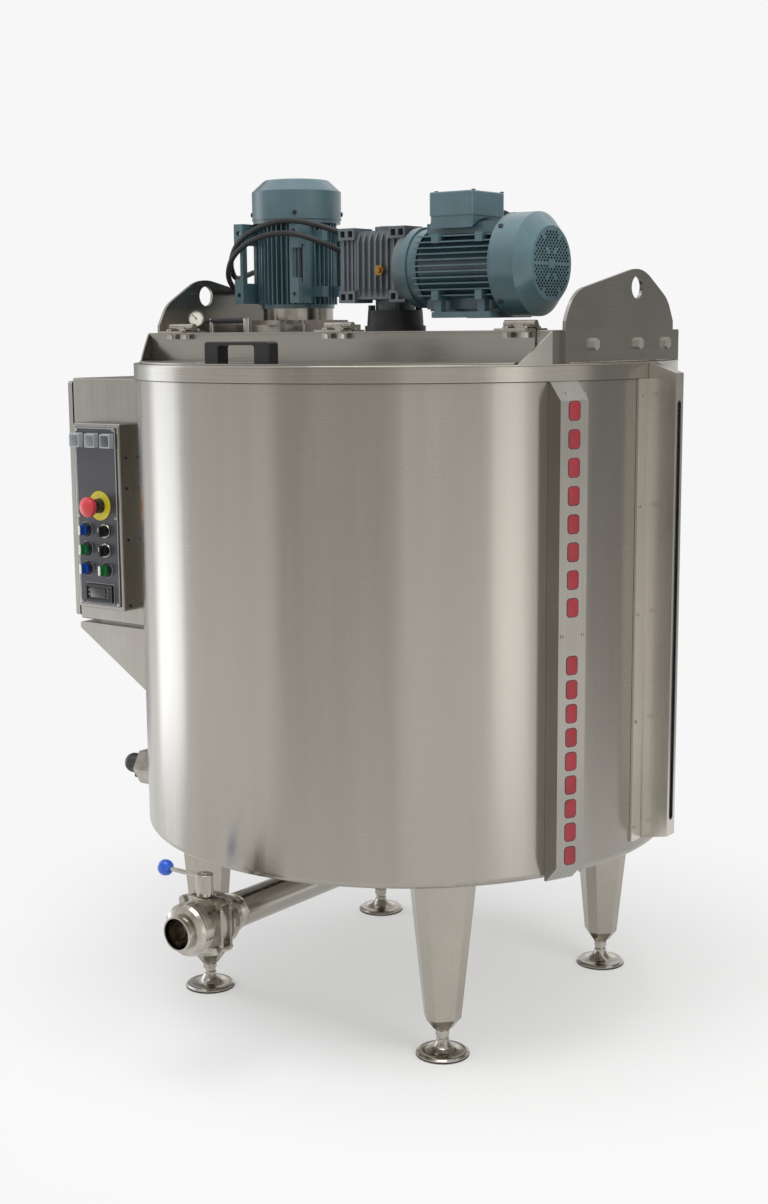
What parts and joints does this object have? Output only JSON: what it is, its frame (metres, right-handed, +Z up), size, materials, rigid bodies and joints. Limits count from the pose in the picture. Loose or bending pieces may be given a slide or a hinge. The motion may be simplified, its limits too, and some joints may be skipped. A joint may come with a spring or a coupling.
{
  "type": "heated mixing tank",
  "caption": "Jacketed round mixing tank on legs with hinged lid, geared agitator, mixer, control cabinet, sight gauge and valved outlet.",
  "frame": {"origin": "on the tank's axis at floor level, centre of the circle through the four feet", "axes": "+Z up, -Y towards the outlet and lid, +X to the right seen from the front"},
  "size_m": [1.328, 1.148, 1.54],
  "materials": {
    "brushed_steel": "long-grain brushed stainless steel",
    "polished_steel": "polished stainless steel",
    "bead_steel": "satin stainless steel sheet",
    "motor_paint": "blue-grey paint on cast aluminium",
    "cast_grey": "silver-grey painted casting",
    "dark_casting": "dark cast iron",
    "black_plastic": "black moulded plastic",
    "slate_panel": "dark slate panel sheet",
    "grey_plastic": "grey moulded plastic",
    "red_plastic": "red moulded plastic",
    "yellow_plastic": "yellow moulded plastic",
    "blue_plastic": "blue moulded plastic",
    "green_plastic": "green moulded plastic",
    "brass": "turned brass",
    "cable_rubber": "black rubber cable sheath",
    "seal_rubber": "black rubber seal",
    "gauge_glass": "clear glass tube",
    "dial_metal": "polished case"
  },
  "bodies": {
    "root": {"outer_jacket": "brushed_steel", "inner_vessel": "bead_steel", "rim_band": "brushed_steel", "bridge_deck": "bead_steel", "deck_hinge_leaves": "polished_steel", "lug_plates": "bead_steel", "lug_bolts": "polished_steel", "legs": "brushed_steel", "drain_pipe": "brushed_steel", "valve_body_front": "polished_steel", "valve_body_rear": "polished_steel", "valve_seal": "seal_rubber", "valve_bolts": "polished_steel", "control_cabinet": "bead_steel", "cabinet_bracket": "bead_steel", "panel_housing": "bead_steel", "panel_face": "slate_panel", "signal_lamps": "grey_plastic", "estop_collar": "yellow_plastic", "thermostat": "black_plastic", "heater_boss": "polished_steel", "heater_cap": "black_plastic", "heating_element": "polished_steel", "trim_channel": "bead_steel", "gauge_housing": "bead_steel", "gauge_tube": "gauge_glass", "gearbox": "cast_grey", "gearbox_pedestal": "dark_casting", "breather_plug": "brass", "gear_motor_frame": "motor_paint", "gear_motor_cowl": "motor_paint", "gear_terminal_box": "motor_paint", "mixer_motor_frame": "motor_paint", "mixer_motor_cowl": "motor_paint", "mixer_base": "bead_steel", "thermometer": "dial_metal", "motor_cable": "cable_rubber", "supply_cable": "cable_rubber"},
    "lid": {"lid": "bead_steel", "lid_handle": "black_plastic", "lid_hinge_leaves": "polished_steel"},
    "cabinet_door": {"cabinet_door": "bead_steel"},
    "valve": {"valve_spindle": "polished_steel", "valve_lever": "polished_steel", "valve_knob": "blue_plastic"},
    "estop_button": {"estop_button": "red_plastic"},
    "agitator": {"agitator": "polished_steel"},
    "gear_rotor": {"gear_rotor": "polished_steel"},
    "mixer_rotor": {"mixer_rotor": "polished_steel"},
    "thermometer_pointer": {"thermometer_pointer": "black_plastic"},
    "selector_1": {"selector_1": "blue_plastic"},
    "selector_2": {"selector_2": "black_plastic"},
    "selector_3": {"selector_3": "green_plastic"},
    "selector_4": {"selector_4": "black_plastic"},
    "selector_5": {"selector_5": "blue_plastic"},
    "selector_6": {"selector_6": "green_plastic"},
    "foot_front_right": {"foot_front_right": "polished_steel"},
    "foot_front_left": {"foot_front_left": "polished_steel"},
    "foot_rear_right": {"foot_rear_right": "polished_steel"},
    "foot_rear_left": {"foot_rear_left": "polished_steel"}
  },
  "joints": [
    {"name": "lid_hinge", "type": "hinge", "parent": "root", "child": "lid", "pos_m": [0, -0.215, 1.26], "axis": [-1, 0, 0], "range_deg": [0, 100]},
    {"name": "door_hinge", "type": "hinge", "parent": "root", "child": "cabinet_door", "pos_m": [-0.771, 0.168, 0.908], "axis": [0, 0, -1], "range_deg": [0, 110]},
    {"name": "valve_turn", "type": "hinge", "parent": "root", "child": "valve", "pos_m": [0, -0.577, 0.27], "axis": [0, 0, 1], "range_deg": [0, 90]},
    {"name": "estop_push", "type": "slide", "parent": "root", "child": "estop_button", "axis": [0, 1, 0], "range_m": [0, 0.004]},
    {"name": "selector_1_turn", "type": "hinge", "parent": "root", "child": "selector_1", "pos_m": [-0.695, -0.17, 0.853], "axis": [0, 1, 0], "range_deg": [-45, 45]},
    {"name": "selector_2_turn", "type": "hinge", "parent": "root", "child": "selector_2", "pos_m": [-0.64, -0.17, 0.853], "axis": [0, 1, 0], "range_deg": [-45, 45]},
    {"name": "selector_3_turn", "type": "hinge", "parent": "root", "child": "selector_3", "pos_m": [-0.695, -0.17, 0.813], "axis": [0, 1, 0], "range_deg": [-45, 45]},
    {"name": "selector_4_turn", "type": "hinge", "parent": "root", "child": "selector_4", "pos_m": [-0.64, -0.17, 0.813], "axis": [0, 1, 0], "range_deg": [-45, 45]},
    {"name": "selector_5_turn", "type": "hinge", "parent": "root", "child": "selector_5", "pos_m": [-0.695, -0.17, 0.773], "axis": [0, 1, 0], "range_deg": [-45, 45]},
    {"name": "selector_6_turn", "type": "hinge", "parent": "root", "child": "selector_6", "pos_m": [-0.64, -0.17, 0.773], "axis": [0, 1, 0], "range_deg": [-45, 45]},
    {"name": "foot_front_right_screw", "type": "slide", "parent": "root", "child": "foot_front_right", "axis": [0, 0, 1], "range_m": [-0.04, 0.003]},
    {"name": "foot_front_left_screw", "type": "slide", "parent": "root", "child": "foot_front_left", "axis": [0, 0, 1], "range_m": [-0.04, 0.003]},
    {"name": "foot_rear_right_screw", "type": "slide", "parent": "root", "child": "foot_rear_right", "axis": [0, 0, 1], "range_m": [-0.04, 0.003]},
    {"name": "foot_rear_left_screw", "type": "slide", "parent": "root", "child": "foot_rear_left", "axis": [0, 0, 1], "range_m": [-0.04, 0.003]},
    {"name": "agitator_spin", "type": "hinge", "parent": "root", "child": "agitator", "pos_m": [0, -0.03, 0.8], "axis": [0, 0, 1], "continuous": true},
    {"name": "gear_rotor_spin", "type": "hinge", "parent": "root", "child": "gear_rotor", "pos_m": [0.17, -0.08, 1.36], "axis": [1, 0, 0], "continuous": true},
    {"name": "mixer_spin", "type": "hinge", "parent": "root", "child": "mixer_rotor", "pos_m": [-0.298, 0.05, 1.2], "axis": [0, 0, 1], "continuous": true},
    {"name": "pointer_turn", "type": "hinge", "parent": "root", "child": "thermometer_pointer", "pos_m": [-0.385, -0.15, 1.276], "axis": [0.5708, -0.8011, 0.1802], "range_deg": [-60, 180]}
  ],
  "couplings": [
    {"joint": "gear_rotor_spin", "follows": "agitator_spin", "ratio": 30}
  ]
}
